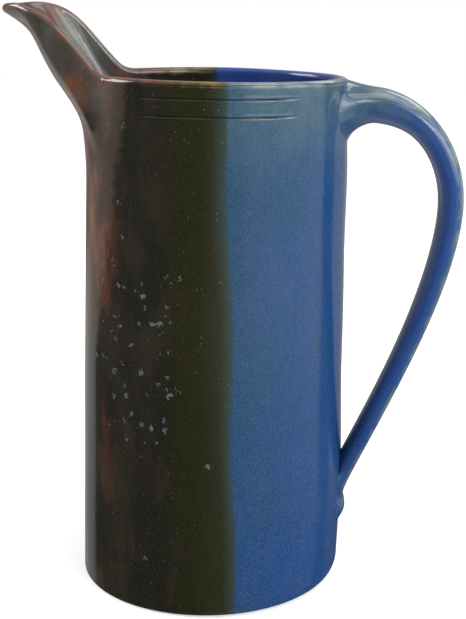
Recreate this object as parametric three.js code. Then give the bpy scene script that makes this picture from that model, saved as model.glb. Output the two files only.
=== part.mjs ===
// Stoneware pitcher, built the way a potter builds it: a tall cylinder thrown on the wheel, a beak-shaped
// spout luted over a half-round notch cut in its rim, and a pulled strap handle with its two clay joints.
//
// Millimetres, +Z up. The origin is the centre of the flat base. The spout points along -X and the handle
// along +X, so the XZ plane is the pitcher's plane of symmetry. Angles around the body are measured from
// the spout's side (-X), positive towards +Y.

import * as THREE from 'three';

// ---------------------------------------------------------------- driving dimensions

const BASE_RADIUS = 66.3;
const RIM_RADIUS = 62.5;
const RIM_HEIGHT = 252.5;
const WALL_AT_RIM = 5.0;
const WALL_AT_BASE = 6.5;
const FLOOR_THICKNESS = 7.0;
const FLOOR_FILLET = 9.0;

// The foot was bevelled off centre, so its edge is soft on the handle's side and crisp under the spout.
const BEVEL_MEAN = 3.4;
const BEVEL_SWING = 3.3;
const BEVEL_STEEPNESS = 1.3;

// Two decorative lines are incised below the rim and fade out at the spout and the handle.
const GROOVE_DEPTHS_BELOW_RIM = [7.6, 15.3];
const GROOVE_HALF_WIDTH = 0.8;
const GROOVE_DEPTH = 0.5;

// The spout grows out of this much of the wall. Its lip is thinner than the rim, except at the tip.
const SPOUT_HALF_SPAN = 40 * Math.PI / 180;
const SPOUT_START_HEIGHT = 205;
const SPOUT_LIP_THICKNESS = 3.4;
const SPOUT_TIP_THICKNESS = 4.5;
const TIP_SHARE = 0.3;
const NOTCH_DEPTH = 40;
const SIDE_RISE_START = 0.2;
const KEEL_SHARE = 0.75;

// Under the spout the wall is squeezed in slightly by the hand that held it.
const THROAT_DIP = 0.5;
const THROAT_HEIGHT = 205;
const THROAT_SPREAD = 20;

// Keel of the spout: height, and how far the wall's middle has moved out from the cylinder there.
const KEEL = [
  [205, 0], [222, 1.2], [232, 3.2], [242, 9.3], [250, 15.3], [262, 22.1], [270.6, 27.1], [276.4, 33.3],
  [281.5, 41.6],
];

// One side of the spout's lip from the tip to the rim: place across the spout (0 to 1), then x, y and z.
const LIP = [
  [0, -101.6, 0, 281.5], [0.22, -97.0, 9.6, 282.6], [0.45, -86.5, 20.0, 283.0], [0.62, -75.0, 26.8, 277.0],
  [0.75, -65.0, 29.8, 266.0], [0.86, -56.0, 32.2, 255.4], [0.93, -51.0, 35.0, 251.2], [1, -46.0, 38.6, 250],
];

// The lip on the -Y side was pulled a little lower than the other: by how much, and where across the spout.
const LIP_DROP = 3.1;
const LIP_DROP_PLACE = 0.55;
const LIP_DROP_SPREAD = 0.2;

// Centre line of the strap handle, from the rim to the lower wall, as x and z.
const HANDLE_SPINE = [
  [60, 240], [78, 239.7], [95.6, 232.9], [107.9, 218.8], [114.2, 199], [113.3, 177], [106.4, 148],
  [93.6, 112.5],
  [77.5, 75.5], [68.1, 55],
];

// Thickness and width of the strap along its length (0 to 1).
const STRAP_THICKNESS = [
  [0, 17.5], [0.08, 17.2], [0.17, 14.2], [0.25, 12.8], [0.4, 12.1], [0.6, 10.9], [0.8, 9.9], [1, 9.6],
];
const STRAP_WIDTH = [[0, 27], [0.2, 25], [0.5, 23.5], [0.8, 21.5], [1, 22.5]];
const STRAP_ROUNDNESS = 2.25;
const STRAP_FROM = 0.085;
const STRAP_TO = 0.975;

// Each joint is a patch of clay spread over the wall: the patch's centre height, half height and half
// width, how strongly the clay leaves the strap, how far it is drawn out over the wall, and how far its
// top reaches up over the rounded rim.
const UPPER_JOINT = {
  centre: 235.1, halfHeight: 14.6, halfWidth: 25, leaving: 21, spreading: 17, overRim: 2,
};
const LOWER_JOINT = {
  centre: 43.7,
  halfHeight: 20.9,
  halfWidth: 24,
  leaving: 42,
  spreading: 32,
  overRim: 0,
};
const CROTCH_LEAVING = 4;
const CROTCH_SPREADING = 4;
const JOINT_EDGE = 0.8;

// The clay pushed down by the thumb stands up in a roll near the bottom of the lower joint.
const THUMB_ROLL_HEIGHT = 31.5;
const THUMB_ROLL_RISE = 3.2;
const THUMB_ROLL_SPREAD = 5;

// Pieces that touch keep a small gap, which is wider at the notch because its edge is steep at the sides.
const GAP = 0.35;
const NOTCH_GAP = 0.45;

const TAU = 2 * Math.PI;

// ---------------------------------------------------------------- small helpers

const clamp = (x, low, high) => Math.min(Math.max(x, low), high);
const mix = (a, b, t) => a + (b - a) * t;
const smoothStep = (t) => t * t * (3 - 2 * t);
const bell = (x) => Math.exp(-x * x);
const range = (count) => Array.from({ length: count }, (_, i) => i);

// A curve y(x) with even curvature through a few points, as a bent batten would run. Either end may be
// given a slope; a free end runs out straight.
function batten(points, column, startSlope = null, endSlope = null) {
  const x = points.map((p) => p[0]);
  const y = points.map((p) => p[column]);
  const last = x.length - 1;
  const step = range(last).map((i) => x[i + 1] - x[i]);
  const rise = range(last).map((i) => (y[i + 1] - y[i]) / step[i]);
  const diagonal = [startSlope === null ? 2 : 1];
  const upper = [startSlope === null ? 1 : 0];
  const right = [startSlope === null ? 3 * rise[0] : startSlope];
  for (let i = 1; i <= last; i += 1) {
    const free = endSlope === null;
    const isEnd = i === last;
    const lower = isEnd ? Number(free) : 1 / step[i - 1];
    const middle = isEnd ? (free ? 2 : 1) : 2 / step[i - 1] + 2 / step[i];
    const side = isEnd ? 0 : 1 / step[i];
    const endSide = free ? 3 * rise[last - 1] : endSlope;
    const value = isEnd ? endSide : 3 * (rise[i - 1] / step[i - 1] + rise[i] / step[i]);
    const factor = lower / diagonal[i - 1];
    diagonal.push(middle - factor * upper[i - 1]);
    upper.push(side);
    right.push(value - factor * right[i - 1]);
  }
  const slope = new Array(last + 1);
  slope[last] = right[last] / diagonal[last];
  for (let i = last - 1; i >= 0; i -= 1) {
    slope[i] = (right[i] - upper[i] * slope[i + 1]) / diagonal[i];
  }
  return (at) => {
    let k = 0;
    while (k < last - 1 && at > x[k + 1]) k += 1;
    const h = step[k];
    const t = (at - x[k]) / h;
    const [a, b] = [1 - t, t];
    return (
      (1 + 2 * t) * a * a * y[k] + t * a * a * h * slope[k] + b * b * (3 - 2 * t) * y[k + 1]
      - b * b * a * h * slope[k + 1]
    );
  };
}

// A smooth path from one point to another that leaves and arrives in given directions.
function blendPath(from, leaving, to, arriving, t) {
  const point = from.clone().multiplyScalar((1 + 2 * t) * (1 - t) ** 2);
  point.addScaledVector(leaving, t * (1 - t) ** 2);
  point.addScaledVector(to, t * t * (3 - 2 * t));
  point.addScaledVector(arriving, t * t * (t - 1));
  return point;
}

// A closed solid from a stack of closed rings with the same number of points. The ends are closed by a
// fan around a centre point, or by a ladder of faces straight across the ring.
function solidFromRings(rings, startCap, endCap) {
  const size = rings[0].length;
  const vertices = rings.flat();
  const faces = [];
  for (let r = 0; r + 1 < rings.length; r += 1) {
    for (let i = 0; i < size; i += 1) {
      const a = r * size + i;
      const b = r * size + (i + 1) % size;
      faces.push([a, b, b + size], [a, b + size, a + size]);
    }
  }
  const closeEnd = (first, cap, flip) => {
    const add = (a, b, c) => faces.push(flip ? [a, c, b] : [a, b, c]);
    if (cap === 'ladder') {
      for (let near = 0, far = size - 1; near + 1 < far; near += 1, far -= 1) {
        add(first + near, first + far, first + far - 1);
        if (near + 1 < far - 1) add(first + near, first + far - 1, first + near + 1);
      }
      return;
    }
    const centre = vertices.push(cap) - 1;
    for (let i = 0; i < size; i += 1) add(centre, first + (i + 1) % size, first + i);
  };
  closeEnd(0, startCap, false);
  closeEnd((rings.length - 1) * size, endCap, true);
  const geometry = new THREE.BufferGeometry();
  const numbers = vertices.flatMap((v) => v.toArray());
  geometry.setAttribute('position', new THREE.Float32BufferAttribute(numbers, 3));
  geometry.setIndex(faces.flat());
  if (signedVolume(vertices, faces) < 0) geometry.setIndex(faces.map(([a, b, c]) => [a, c, b]).flat());
  geometry.computeVertexNormals();
  return geometry;
}

function signedVolume(vertices, faces) {
  const cross = new THREE.Vector3();
  return faces.reduce((sum, [a, b, c]) => {
    return sum + cross.crossVectors(vertices[a], vertices[b]).dot(vertices[c]);
  }, 0);
}

function piece(name, geometry, color, roughness) {
  const mesh = new THREE.Mesh(geometry, new THREE.MeshStandardMaterial({ color, roughness, metalness: 0 }));
  mesh.name = name;
  return mesh;
}

// ---------------------------------------------------------------- the wall's middle surface

const RIM_END = RIM_HEIGHT - WALL_AT_RIM / 2;
const RIM_MIDDLE = RIM_RADIUS - WALL_AT_RIM / 2;

const outerRadius = (z) => mix(BASE_RADIUS, RIM_RADIUS, z / RIM_HEIGHT);
const wallThickness = (z) => mix(WALL_AT_BASE, WALL_AT_RIM, clamp(z / RIM_HEIGHT, 0, 1));
const middleRadius = (z) => outerRadius(z) - wallThickness(z) / 2;

const keelEnd = KEEL[KEEL.length - 1];
const keelShape = KEEL.map(([z, out]) => [
  (z - SPOUT_START_HEIGHT) / (keelEnd[0] - SPOUT_START_HEIGHT), out / keelEnd[1],
]);
const keelRise = batten(keelShape, 1, 0);

// The lip leaves the rim along the rim's own circle, so that the spout grows out of the wall.
const lipX = batten(LIP, 1, 0, RIM_MIDDLE * Math.sin(SPOUT_HALF_SPAN) * SPOUT_HALF_SPAN);
const lipY = batten(LIP, 2, null, RIM_MIDDLE * Math.cos(SPOUT_HALF_SPAN) * SPOUT_HALF_SPAN);
const lipZ = batten(LIP, 3, 0, 0);

// Height of the wall's end (below its rounded edge) at a place across the spout.
const lipDrop = (across) => LIP_DROP * bell((across + LIP_DROP_PLACE) / LIP_DROP_SPREAD);
const wallEnd = (across) => (Math.abs(across) < 1 ? lipZ(Math.abs(across)) - lipDrop(across) : RIM_END);

// The middle of the wall. across is the angle over the spout's half span; level is 0 where the spout
// starts to swell out of the wall and 1 at the wall's end, and negative below the spout.
function wallMiddle(across, level) {
  const angle = across * SPOUT_HALF_SPAN;
  const end = level > 0 ? wallEnd(across) : RIM_END;
  const z = mix(SPOUT_START_HEIGHT, end, level);
  const dipAt = bell((z - THROAT_HEIGHT) / THROAT_SPREAD) * bell(across);
  const dip = THROAT_DIP * dipAt * (1 - Math.max(level, 0));
  const radius = middleRadius(z) - dip;
  const point = new THREE.Vector3(-radius * Math.cos(angle), radius * Math.sin(angle), z);
  if (Math.abs(across) >= 1 || level <= 0) return point;
  const place = Math.abs(across);
  const reachX = lipX(place) + middleRadius(end) * Math.cos(angle);
  const reachY = Math.sign(across) * lipY(place) - middleRadius(end) * Math.sin(angle);
  const side = smoothStep(clamp(place / KEEL_SHARE, 0, 1));
  const sideRise = smoothStep(clamp((level - SIDE_RISE_START) / (1 - SIDE_RISE_START), 0, 1));
  const rise = mix(keelRise(level), sideRise, side);
  point.x += reachX * rise;
  point.y += reachY * rise;
  return point;
}

// Outward direction of the wall, and the direction in which it rises.
function wallDirections(across, level) {
  const e = 1e-3;
  const around = wallMiddle(across + e, level).sub(wallMiddle(across - e, level));
  const up = wallMiddle(across, Math.min(level + e, 1)).sub(wallMiddle(across, Math.min(level, 1 - e) - e));
  const out = up.cross(around).normalize();
  const rising = around.cross(out).normalize();
  return { out, rising };
}

function thicknessAt(across, level) {
  const plain = wallThickness(mix(SPOUT_START_HEIGHT, RIM_END, level));
  const inSpout = clamp(1 - across * across, 0, 1) * clamp(level, 0, 1);
  return mix(plain, mix(SPOUT_LIP_THICKNESS, SPOUT_TIP_THICKNESS, bell(across / TIP_SHARE)), inSpout);
}

// A point of the skin: side is 1 outside and -1 inside.
function skin(across, level, side) {
  const { out } = wallDirections(across, level);
  return wallMiddle(across, level).addScaledVector(out, side * thicknessAt(across, level) / 2);
}

// The rounded edge of the rim and the lip, from outside to inside.
const EDGE_STEPS = 4;
function roundedEdge(across) {
  const { out, rising } = wallDirections(across, 1);
  const radius = thicknessAt(across, 1) / 2;
  return range(EDGE_STEPS - 1).map((i) => {
    const turn = Math.PI * (i + 1) / EDGE_STEPS;
    const point = wallMiddle(across, 1).addScaledVector(out, radius * Math.cos(turn));
    return point.addScaledVector(rising, radius * Math.sin(turn));
  });
}

// ---------------------------------------------------------------- thrown body

// Columns of the body, as places across the spout: closer together in the spout's span.
const SPOUT_COLUMN_STEP = 8.5;
const SPOUT_COLUMNS = range(21).map((i) => (i - 10) * SPOUT_COLUMN_STEP * Math.PI / 180);
const SIDE_COLUMNS = 7;
const BACK_COLUMNS = 12;

function bodyColumns() {
  const quarter = Math.PI / 2;
  const side = range(SIDE_COLUMNS).map((i) => mix(SPOUT_HALF_SPAN, quarter, i / SIDE_COLUMNS));
  const back = range(BACK_COLUMNS).map((i) => mix(quarter, Math.PI, i / BACK_COLUMNS));
  const half = [...side, ...back];
  const inSpout = SPOUT_COLUMNS.map((turn) => Math.sin(turn) * SPOUT_HALF_SPAN);
  const angles = [...inSpout, ...half, Math.PI, ...half.slice().reverse().map((a) => -a)];
  return angles.map((angle) => angle / SPOUT_HALF_SPAN);
}

// The notch for the spout is half an ellipse cut down from the rim.
const notchHeight = (across, depth) => RIM_END - depth * Math.sqrt(Math.max(1 - across * across, 0));
const levelOf = (across, z) => (z - SPOUT_START_HEIGHT) / (wallEnd(across) - SPOUT_START_HEIGHT);
const topLevel = (across) => (Math.abs(across) < 1 ? levelOf(across, notchHeight(across, NOTCH_DEPTH)) : 1);

// The incised lines fade in next to the spout and out next to the handle.
function grooveAt(across, z) {
  const degrees = Math.abs(across) * SPOUT_HALF_SPAN * 180 / Math.PI;
  const fade = smoothStep(clamp((degrees - 42) / 10, 0, 1)) * smoothStep(clamp((158 - degrees) / 10, 0, 1));
  const cut = GROOVE_DEPTHS_BELOW_RIM.map((depth) => {
    const off = Math.abs(z - (RIM_HEIGHT - depth)) / GROOVE_HALF_WIDTH;
    return Math.max(1 - off, 0);
  });
  return GROOVE_DEPTH * fade * Math.max(...cut);
}

function thrownBody() {
  const columns = bodyColumns();
  const bevelAt = (across) => BEVEL_MEAN - BEVEL_SWING * Math.cos(across * SPOUT_HALF_SPAN);
  const onAngle = (across, radius, z) => {
    const angle = across * SPOUT_HALF_SPAN;
    return new THREE.Vector3(-radius * Math.cos(angle), radius * Math.sin(angle), z);
  };
  const bevelRow = (turn) => columns.map((across) => {
    const bevel = bevelAt(across);
    const height = bevel * BEVEL_STEEPNESS;
    const radius = outerRadius(height) - bevel * (1 - Math.sin(turn));
    return onAngle(across, radius, height * (1 - Math.cos(turn)));
  });
  const level = (z) => (z - SPOUT_START_HEIGHT) / (RIM_END - SPOUT_START_HEIGHT);
  const grooveRows = GROOVE_DEPTHS_BELOW_RIM.slice().reverse().flatMap((depth) => (
    [-GROOVE_HALF_WIDTH, 0, GROOVE_HALF_WIDTH].map((off) => RIM_HEIGHT - depth + off)
  ));
  const lowRows = [40, 90, 140, 175, 195, SPOUT_START_HEIGHT].map(level);
  const highRows = [215, 225, ...grooveRows, RIM_END].map(level);
  const outerRow = (at) => columns.map((across) => {
    const own = at > 0 ? at * topLevel(across) : at;
    const point = skin(across, own, 1);
    const { out } = wallDirections(across, own);
    return point.addScaledVector(out, -grooveAt(across, point.z));
  });
  const innerRow = (at) => columns.map((across) => skin(across, at > 0 ? at * topLevel(across) : at, -1));
  const edgeRow = (i) => columns.map((across) => {
    if (Math.abs(across) >= 1) return roundedEdge(across)[i];
    const top = topLevel(across);
    return skin(across, top, 1).lerp(skin(across, top, -1), (i + 1) / EDGE_STEPS);
  });
  const floorRow = (turn) => {
    const z = FLOOR_THICKNESS + FLOOR_FILLET * (1 - Math.cos(turn));
    const reach = FLOOR_FILLET * (1 - Math.sin(turn));
    const top = FLOOR_THICKNESS + FLOOR_FILLET;
    return columns.map((across) => onAngle(across, outerRadius(top) - wallThickness(top) - reach, z));
  };
  const quarterTurns = [0, 0.25, 0.5, 0.75, 1].map((t) => t * Math.PI / 2);
  const rings = [
    ...quarterTurns.map(bevelRow),
    ...lowRows.map(outerRow),
    ...highRows.map(outerRow),
    ...range(EDGE_STEPS - 1).map(edgeRow),
    ...[RIM_END, 240, 225, 215].map(level).map(innerRow),
    ...[SPOUT_START_HEIGHT, 185, 140, 90, 40].map(level).map(innerRow),
    ...quarterTurns.slice().reverse().map(floorRow),
  ];
  return solidFromRings(rings, new THREE.Vector3(0, 0, 0), new THREE.Vector3(0, 0, FLOOR_THICKNESS));
}

// ---------------------------------------------------------------- spout

const SPOUT_ROWS = 13;

function spoutBeak() {
  const shrink = 1 - NOTCH_GAP / (RIM_RADIUS * SPOUT_HALF_SPAN);
  const rings = SPOUT_COLUMNS.map((turn) => {
    const across = Math.sin(turn) * shrink;
    const root = levelOf(across, RIM_END - (NOTCH_DEPTH - NOTCH_GAP) * Math.cos(turn));
    const levels = range(SPOUT_ROWS).map((i) => mix(root, 1, i / (SPOUT_ROWS - 1)));
    const outside = levels.map((at) => skin(across, at, 1));
    const inside = levels.slice().reverse().map((at) => skin(across, at, -1));
    return [...outside, ...roundedEdge(across), ...inside];
  });
  return solidFromRings(rings, 'ladder', 'ladder');
}

// ---------------------------------------------------------------- handle

const STRAP_SIDES = 20;
const STRAP_RINGS = 26;
const JOINT_RINGS = 8;

const spineLengths = HANDLE_SPINE.map(([x, z], i) => {
  if (i === 0) return 0;
  return Math.hypot(x - HANDLE_SPINE[i - 1][0], z - HANDLE_SPINE[i - 1][1]);
});
const spineTotal = spineLengths.reduce((sum, length) => sum + length, 0);
const spinePoints = HANDLE_SPINE.map(([x, z], i) => [
  spineLengths.slice(0, i + 1).reduce((sum, length) => sum + length, 0) / spineTotal, x, z,
]);
const spineX = batten(spinePoints, 1);
const spineZ = batten(spinePoints, 2);
const strapThickness = batten(STRAP_THICKNESS, 1);
const strapWidth = batten(STRAP_WIDTH, 1);

// Direction in which the strap runs, from the rim down to the lower wall.
function strapDirection(along) {
  const e = 1e-3;
  return new THREE.Vector3(
    spineX(along + e) - spineX(along - e), 0, spineZ(along + e) - spineZ(along - e),
  ).normalize();
}

// A rounded-rectangle section of the strap. A turn of 0 is the strap's outer face, half a turn its inner.
function strapPoint(along, turn) {
  const run = strapDirection(along);
  const outward = new THREE.Vector3(-run.z, 0, run.x);
  const [c, s] = [Math.cos(turn), Math.sin(turn)];
  const reach = (Math.abs(c) ** STRAP_ROUNDNESS + Math.abs(s) ** STRAP_ROUNDNESS) ** (-1 / STRAP_ROUNDNESS);
  const point = new THREE.Vector3(spineX(along), 0, spineZ(along));
  point.addScaledVector(outward, c * reach * strapThickness(along) / 2);
  point.y += s * reach * strapWidth(along) / 2;
  return point;
}

const strapTurns = range(STRAP_SIDES).map((i) => TAU * i / STRAP_SIDES);
const strapRing = (along) => strapTurns.map((turn) => strapPoint(along, turn));
const spinePoint = (along) => new THREE.Vector3(spineX(along), 0, spineZ(along));

function handleStrap() {
  const inset = GAP / spineTotal;
  const from = STRAP_FROM + inset;
  const to = STRAP_TO - inset;
  const places = range(STRAP_RINGS).map((i) => mix(from, to, i / (STRAP_RINGS - 1)));
  return solidFromRings(places.map(strapRing), spinePoint(from), spinePoint(to));
}

// A point over the wall on the handle's side: across is the distance around the wall from the +X line.
function overWall(across, z, lift) {
  const angle = across / RIM_RADIUS;
  const radius = outerRadius(z) + lift;
  return new THREE.Vector3(radius * Math.cos(angle), radius * Math.sin(angle), z);
}

function thumbRoll(across, z, halfWidth) {
  const along = bell((z - THUMB_ROLL_HEIGHT) / THUMB_ROLL_SPREAD);
  return THUMB_ROLL_RISE * along * bell(across / (halfWidth * 0.75));
}

// One joint of the handle: the strap's section is drawn out into a patch that lies on the wall. facing is 1
// for the upper joint, where the strap's outer face is on top, and -1 for the lower one.
function handleJoint(place, joint, facing) {
  const start = strapRing(place);
  const leaving = strapDirection(place).multiplyScalar(-facing);
  const patch = (turn, share, lift) => {
    const across = joint.halfWidth * share * Math.sin(turn);
    const z = joint.centre + facing * joint.halfHeight * share * Math.cos(turn);
    return overWall(across, z, lift);
  };
  const surface = (turn, index, t) => {
    const edge = patch(turn, 1, GAP + JOINT_EDGE);
    edge.z += joint.overRim * Math.max(Math.cos(turn), 0) ** 2;
    const spread = patch(turn, 1.05, GAP + JOINT_EDGE).sub(patch(turn, 0.95, GAP + JOINT_EDGE)).normalize();
    const crotch = facing < 0 ? smoothStep((1 - Math.cos(turn)) / 2) : 0;
    const pull = leaving.clone().multiplyScalar(mix(joint.leaving, CROTCH_LEAVING, crotch));
    spread.multiplyScalar(mix(joint.spreading, CROTCH_SPREADING, crotch));
    const point = blendPath(start[index], pull, edge, spread, t);
    const roll = facing < 0 ? thumbRoll(point.y, point.z, joint.halfWidth) * smoothStep(t) * (1 - t ** 8) : 0;
    return point.addScaledVector(new THREE.Vector3(point.x, point.y, 0).normalize(), roll);
  };
  const blend = range(JOINT_RINGS + 1).map((r) => (
    strapTurns.map((turn, i) => surface(turn, i, r / JOINT_RINGS))
  ));
  const back = [1, 0.75, 0.5, 0.25].map((share) => strapTurns.map((turn) => patch(turn, share, GAP)));
  return solidFromRings([...blend, ...back], spinePoint(place), patch(0, 0, GAP));
}

// ---------------------------------------------------------------- assembly

const DARK_GLAZE = 0x35302a;
const SPOUT_GLAZE = 0x4a342b;
const BLUE_GLAZE = 0x41639b;
const pitcher = new THREE.Group();
pitcher.add(
  piece('thrown_body', thrownBody(), DARK_GLAZE, 0.2),
  piece('spout_beak', spoutBeak(), SPOUT_GLAZE, 0.15),
  piece('handle_strap', handleStrap(), BLUE_GLAZE, 0.2),
  piece('handle_upper_joint', handleJoint(STRAP_FROM, UPPER_JOINT, 1), BLUE_GLAZE, 0.2),
  piece('handle_lower_joint', handleJoint(STRAP_TO, LOWER_JOINT, -1), BLUE_GLAZE, 0.2),
);

export default pitcher;
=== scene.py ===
"""A wheel-thrown stoneware pitcher with a beak spout and a pulled strap handle, glazed in two colours.

The shapes are worked out in millimetres from the driving dimensions of the CAD frame, at a much finer
step, and become metres when a mesh is made. The handle's joints have sizes of their own here: the lower one
is narrower than in the CAD and its thumb roll is higher. The beak's lip is up to 0.4 mm lower and 0.3 mm
shorter, which keeps the glazed skin inside the CAD's box. Angles around the body are measured from the
spout's side (-X), positive towards +Y.
"""

import math

import bpy
import numpy as np
from mathutils import Matrix, Vector


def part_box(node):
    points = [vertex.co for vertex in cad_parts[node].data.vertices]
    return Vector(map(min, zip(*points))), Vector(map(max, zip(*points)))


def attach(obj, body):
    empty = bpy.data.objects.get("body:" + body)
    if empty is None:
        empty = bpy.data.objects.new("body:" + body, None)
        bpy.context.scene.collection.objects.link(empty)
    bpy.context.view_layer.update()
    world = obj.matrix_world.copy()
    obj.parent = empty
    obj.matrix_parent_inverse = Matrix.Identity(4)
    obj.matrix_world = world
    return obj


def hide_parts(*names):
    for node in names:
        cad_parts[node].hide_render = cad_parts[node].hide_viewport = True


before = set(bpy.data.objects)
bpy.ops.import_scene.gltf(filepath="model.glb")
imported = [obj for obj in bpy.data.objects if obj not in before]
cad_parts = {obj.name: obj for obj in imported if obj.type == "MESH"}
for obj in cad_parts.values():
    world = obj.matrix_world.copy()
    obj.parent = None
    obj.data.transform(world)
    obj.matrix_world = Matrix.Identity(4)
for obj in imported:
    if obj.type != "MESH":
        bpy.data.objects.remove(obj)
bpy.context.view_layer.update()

# ------------------------------------------------------------------ driving dimensions, in millimetres

MM = 0.001
_, body_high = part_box("thrown_body")
RIM_HEIGHT = round(body_high.z / MM, 1)
WALL_AT_RIM = 5.0
WALL_AT_BASE = 6.5
RIM_RADIUS = 62.5
BASE_RADIUS = 66.3
FLOOR_THICKNESS = 7.0
FLOOR_FILLET = 9.0
BEVEL_MEAN = 3.4
BEVEL_SWING = 3.3
BEVEL_STEEPNESS = 1.3
BEVEL_WAVER = 0.35

GROOVE_DEPTHS_BELOW_RIM = (7.6, 15.3)
GROOVE_HALF_WIDTH = 0.5
GROOVE_DEPTH = 0.5
GROOVE_BURR = 0.05

# The grooves are wiped away near the spout and the handle: from which angle, in degrees, and how softly.
GROOVE_FADE_AT_SPOUT = 52
GROOVE_SOFTNESS_AT_SPOUT = 22
GROOVE_FADE_AT_HANDLE = 132
GROOVE_SOFTNESS_AT_HANDLE = 14

# The rim isn't quite level: it stands a little higher on the +Y side, around this angle in radians.
RIM_LIFT = 0.7
RIM_LIFT_START = 225
RIM_LIFT_BLEND = 22
RIM_LIFT_ANGLE = 1.5
RIM_LIFT_SPREAD = 0.6

SPOUT_HALF_SPAN = math.radians(40)
SPOUT_START_HEIGHT = 205.0
SPOUT_LIP_THICKNESS = 3.4
SPOUT_TIP_THICKNESS = 4.5
TIP_SHARE = 0.3
NOTCH_DEPTH = 40.0
SIDE_RISE_START = 0.2
KEEL_SHARE = 0.75
THROAT_DIP = 0.5
THROAT_HEIGHT = 205.0
THROAT_SPREAD = 20.0

# Keel of the spout: height, and how far the wall's middle has moved out from the cylinder there.
KEEL = ((205, 0), (222, 1.2), (232, 3.2), (242, 9.3), (250, 15.3), (262, 22.1), (270.6, 27.1),
        (276.4, 33.3), (281.5, 41.6))

# One side of the spout's lip from the tip to the rim: place across the spout (0 to 1), then x, y and z.
LIP = ((0, -101.3, 0, 281.5), (0.22, -96.8, 9.6, 282.2), (0.45, -86.5, 20.0, 282.6),
       (0.62, -75.0, 26.8, 277.0), (0.75, -65.0, 29.8, 266.0), (0.86, -56.0, 32.2, 255.4),
       (0.93, -51.0, 35.0, 251.2), (1, -46.0, 38.6, 250))

# The lip on the -Y side was pulled a little lower than the other: by how much, and where across the spout.
LIP_DROP = 3.1
LIP_DROP_PLACE = 0.55
LIP_DROP_SPREAD = 0.2

# Centre line of the strap handle, from the rim to the lower wall, as x and z.
HANDLE_SPINE = ((60, 240), (78, 239.7), (95.6, 232.9), (107.9, 218.8), (114.2, 199), (113.3, 177),
                (106.4, 148), (93.6, 112.5), (77.5, 75.5), (68.1, 55))
STRAP_THICKNESS = ((0, 17.5), (0.08, 17.2), (0.17, 14.2), (0.25, 12.8), (0.4, 12.1), (0.6, 10.9),
                   (0.8, 9.9), (1, 9.6))
STRAP_WIDTH = ((0, 27), (0.2, 25), (0.5, 23.5), (0.8, 21.5), (1, 22.5))
STRAP_ROUNDNESS = 2.25
STRAP_FROM = 0.085
STRAP_TO = 0.975

# Each joint of the handle is a patch of clay spread over the wall: the patch's centre height, half height and
# half width, how strongly the clay leaves the strap, and how far it is drawn out over the wall. Inside the
# crotch of the lower joint both pulls are short.
UPPER_JOINT = {"centre": 236.5, "half_height": 16.5, "half_width": 26, "leaving": 21, "spreading": 19}
LOWER_JOINT = {"centre": 40.6, "half_height": 17.9, "half_width": 17.5, "leaving": 80, "spreading": 20}
CROTCH_PULL = 4

# The clay pushed down by the thumb stands up in a roll near the bottom of the lower joint.
THUMB_ROLL_HEIGHT = 36.0
THUMB_ROLL_RISE = 7.8
THUMB_ROLL_SPREAD = 5.5
THUMB_ROLL_HALF_WIDTH = 15

RIM_END = RIM_HEIGHT - WALL_AT_RIM / 2
RIM_MIDDLE = RIM_RADIUS - WALL_AT_RIM / 2
TAU = 2 * math.pi

# Edges that turn by more than this are drawn sharp.
SHARP_ANGLE = math.radians(50)


# ------------------------------------------------------------------ curves and small helpers

def smooth_step(t):
    t = np.clip(t, 0, 1)
    return t * t * (3 - 2 * t)


def bell(x):
    return np.exp(-x * x)


def mix(a, b, t):
    return a + (b - a) * t


def unit(v):
    return v / np.linalg.norm(v, axis=-1, keepdims=True)


def batten(points, column, start_slope=None, end_slope=None):
    """A curve y(x) with even curvature through a few points. A free end runs out straight."""
    table = np.array(points, float)
    x, y = table[:, 0], table[:, column]
    step = np.diff(x)
    rise = np.diff(y) / step
    last = len(x) - 1
    matrix, right = np.zeros((last + 1, last + 1)), np.zeros(last + 1)
    for i, slope, beside, end_rise in ((0, start_slope, 1, rise[0]), (last, end_slope, last - 1, rise[-1])):
        if slope is None:
            matrix[i, i], matrix[i, beside], right[i] = 2, 1, 3 * end_rise
        else:
            matrix[i, i], right[i] = 1, slope
    for i in range(1, last):
        matrix[i, i - 1], matrix[i, i + 1] = 1 / step[i - 1], 1 / step[i]
        matrix[i, i] = 2 / step[i - 1] + 2 / step[i]
        right[i] = 3 * (rise[i - 1] / step[i - 1] + rise[i] / step[i])
    slopes = np.linalg.solve(matrix, right)

    def curve(at):
        at = np.asarray(at, float)
        k = np.clip(np.searchsorted(x, at, side="right") - 1, 0, last - 1)
        h = step[k]
        b = (at - x[k]) / h
        a = 1 - b
        ends = (1 + 2 * b) * a * a * y[k] + b * b * (3 - 2 * b) * y[k + 1]
        return ends + b * a * a * h * slopes[k] - b * b * a * h * slopes[k + 1]

    return curve


def blend_path(start, leaving, end, arriving, t):
    """A smooth path from one point to another that leaves and arrives in given directions."""
    a = 1 - t
    path = (1 + 2 * t) * a * a * start + t * a * a * leaving
    return path + t * t * (3 - 2 * t) * end - t * t * a * arriving


# ------------------------------------------------------------------ the wall's middle surface

def outer_radius(z):
    return mix(BASE_RADIUS, RIM_RADIUS, z / RIM_HEIGHT)


def wall_thickness(z):
    return mix(WALL_AT_BASE, WALL_AT_RIM, np.clip(z / RIM_HEIGHT, 0, 1))


def middle_radius(z):
    return outer_radius(z) - wall_thickness(z) / 2


keel_table = [((z - KEEL[0][0]) / (KEEL[-1][0] - KEEL[0][0]), out / KEEL[-1][1]) for z, out in KEEL]
keel_rise = batten(keel_table, 1, 0)
lip_x = batten(LIP, 1, 0, RIM_MIDDLE * math.sin(SPOUT_HALF_SPAN) * SPOUT_HALF_SPAN)
lip_y = batten(LIP, 2, None, RIM_MIDDLE * math.cos(SPOUT_HALF_SPAN) * SPOUT_HALF_SPAN)
lip_z = batten(LIP, 3, 0, 0)


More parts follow.
